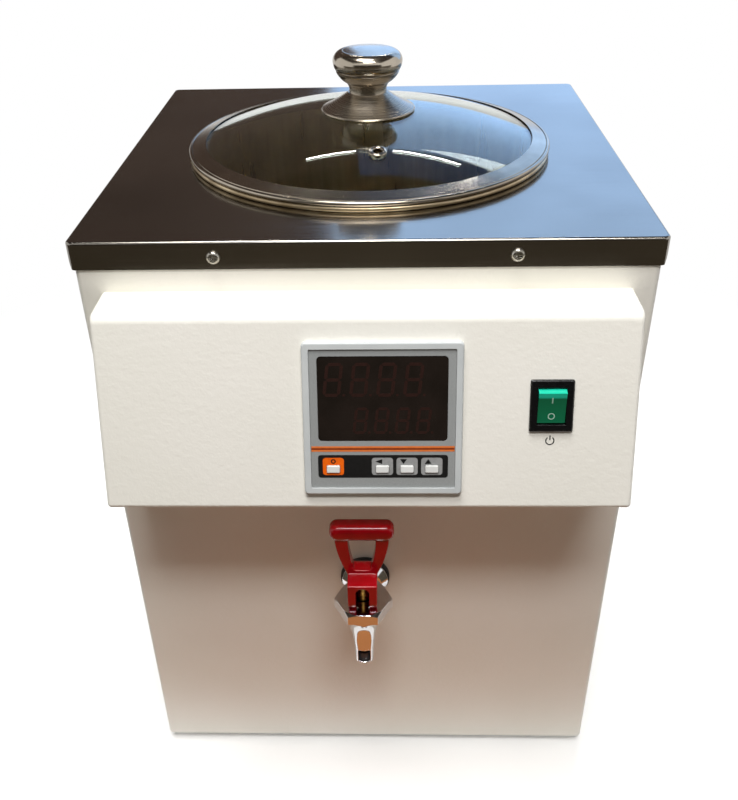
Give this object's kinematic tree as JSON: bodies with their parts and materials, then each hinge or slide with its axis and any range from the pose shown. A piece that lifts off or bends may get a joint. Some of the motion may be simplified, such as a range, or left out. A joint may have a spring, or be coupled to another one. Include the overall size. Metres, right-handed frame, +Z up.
{
  "type": "paraffin dispenser",
  "caption": "Bench-top paraffin dispenser: cream steel cabinet, steel pot with domed glass lid, sloping control box with digital controller, and chrome tap with red lever.",
  "frame": {"origin": "bottom centre of the bounding box, on the plane of the feet", "axes": "+X to the viewer's right, +Y from the tap to the rear panel, +Z up"},
  "size_m": [0.361, 0.4192, 0.5404],
  "materials": {
    "cream_powder_coat": "textured",
    "pan_steel": "brushed",
    "pot_steel": "satin",
    "polished_steel": "polished",
    "tap_chrome": "polished",
    "brass": "machined",
    "fastener_steel": "zinc plated",
    "red_plastic": "gloss",
    "black_plastic": "satin",
    "light_grey_plastic": "satin",
    "grey_plastic": "matte",
    "window_plastic": "gloss",
    "digit_plastic": "satin",
    "key_plastic": "satin",
    "board_green": "matte",
    "green_lens": "gloss",
    "black_rubber": "matte",
    "silicone": "matte",
    "lid_glass": "clear",
    "insulation_wool": "fibrous",
    "aluminium": "extruded",
    "spring_steel": "drawn"
  },
  "bodies": {
    "cabinet": {"cabinet_shell": "cream_powder_coat", "base_plate": "cream_powder_coat", "rear_panel": "cream_powder_coat", "rubber_feet": "black_rubber", "foot_screws": "fastener_steel", "base_screws": "fastener_steel", "rear_panel_screws": "fastener_steel", "top_pan": "pan_steel", "pan_screws": "fastener_steel", "control_box": "cream_powder_coat", "control_box_screws": "fastener_steel", "controller_bezel": "light_grey_plastic", "controller_case": "black_plastic", "controller_faceplate": "grey_plastic", "controller_window": "window_plastic", "display_board": "board_green", "digit_modules": "digit_plastic", "key_switches": "black_plastic", "controller_clamps": "fastener_steel", "switch_housing": "black_plastic", "switch_terminals": "brass", "tank": "pot_steel", "tank_floor": "pot_steel", "tank_outlet": "pot_steel", "heater_band": "fastener_steel", "heater_screw": "fastener_steel", "insulation_jacket": "insulation_wool", "insulation_base": "insulation_wool", "overheat_thermostat": "black_plastic", "temperature_probe": "brass", "relay_heat_sink": "aluminium", "solid_state_relay": "grey_plastic", "terminal_block": "black_plastic", "power_inlet": "black_plastic", "inlet_screws": "fastener_steel", "fuse_holder": "black_plastic", "tap_body": "tap_chrome", "tap_wall_washer": "black_rubber", "tap_mounting_nut": "brass", "tap_gasket": "silicone", "tap_bonnet": "tap_chrome", "tap_spring": "spring_steel"},
    "lid": {"lid_glass": "lid_glass", "lid_rim_band": "polished_steel", "lid_knob_base": "polished_steel", "lid_knob": "polished_steel", "lid_knob_cap": "polished_steel", "lid_knob_screw": "fastener_steel", "lid_knob_washer": "fastener_steel", "steam_vent": "polished_steel"},
    "valve_stem": {"tap_stem": "brass", "tap_seat_cup": "silicone", "tap_lever_pin": "fastener_steel"},
    "lever": {"tap_lever": "red_plastic"},
    "power_rocker": {"switch_rocker": "green_lens"},
    "key_set": {"key_set": "key_plastic"},
    "key_shift": {"key_shift": "key_plastic"},
    "key_down": {"key_down": "key_plastic"},
    "key_up": {"key_up": "key_plastic"}
  },
  "joints": [
    {"name": "lid_lift", "type": "slide", "parent": "cabinet", "child": "lid", "axis": [0, 0, 1], "range_m": [0, 0.15]},
    {"name": "stem_lift", "type": "slide", "parent": "cabinet", "child": "valve_stem", "axis": [0, 0, 1], "range_m": [0, 0.00418], "stiffness_N_per_m": 800, "springref_m": -0.01, "deforming": ["tap_spring"]},
    {"name": "lever_tilt", "type": "hinge", "parent": "valve_stem", "child": "lever", "pos_m": [-0.004, -0.1921, 0.2359], "axis": [1, 0, 0], "range_deg": [0, 40]},
    {"name": "rocker_tilt", "type": "hinge", "parent": "cabinet", "child": "power_rocker", "pos_m": [0.1111, -0.18573, 0.38094], "axis": [1, 0, 0], "range_deg": [-24, 0]},
    {"name": "key_set_press", "type": "slide", "parent": "cabinet", "child": "key_set", "axis": [0, 0.961, -0.2765], "range_m": [0, 0.0008], "stiffness_N_per_m": 200, "springref_m": -0.0005},
    {"name": "key_shift_press", "type": "slide", "parent": "cabinet", "child": "key_shift", "axis": [0, 0.961, -0.2765], "range_m": [0, 0.0008], "stiffness_N_per_m": 200, "springref_m": -0.0005},
    {"name": "key_down_press", "type": "slide", "parent": "cabinet", "child": "key_down", "axis": [0, 0.961, -0.2765], "range_m": [0, 0.0008], "stiffness_N_per_m": 200, "springref_m": -0.0005},
    {"name": "key_up_press", "type": "slide", "parent": "cabinet", "child": "key_up", "axis": [0, 0.961, -0.2765], "range_m": [0, 0.0008], "stiffness_N_per_m": 200, "springref_m": -0.0005}
  ],
  "couplings": [
    {"joint": "lever_tilt", "follows": "stem_lift", "rad_per_m": 166.67}
  ]
}
